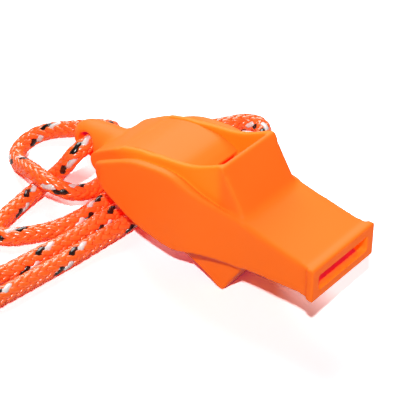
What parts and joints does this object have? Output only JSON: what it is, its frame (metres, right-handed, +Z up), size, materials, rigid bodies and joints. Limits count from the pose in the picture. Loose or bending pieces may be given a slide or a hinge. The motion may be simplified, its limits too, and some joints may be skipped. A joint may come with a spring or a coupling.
{
  "type": "pealess survival whistle",
  "caption": "Flat pealess whistle with a sound window above and below, leaf shaped side plates, a lipped mouthpiece and a braided neck lanyard through its tail eye.",
  "frame": {"origin": "on the surface it stands on, below the middle of the whistle's length and width, lanyard left out", "axes": "+X from the lanyard eye towards the mouthpiece lip, +Y across the whistle, +Z up from the lower ridge to the upper ridge"},
  "size_m": [0.0933, 0.0956, 0.024],
  "materials": {
    "orange_plastic": "satin",
    "braid": "woven",
    "crimp_metal": "brushed",
    "tie_band": "matte"
  },
  "bodies": {
    "root": {"main_body": "orange_plastic", "fipple_block": "orange_plastic", "upper_chamber_cover": "orange_plastic", "lower_chamber_cover": "orange_plastic", "lanyard_far_run": "braid", "lanyard_near_run": "braid", "lanyard_coil": "braid", "lanyard_crimp": "crimp_metal", "coil_tie": "tie_band"}
  },
  "joints": []
}
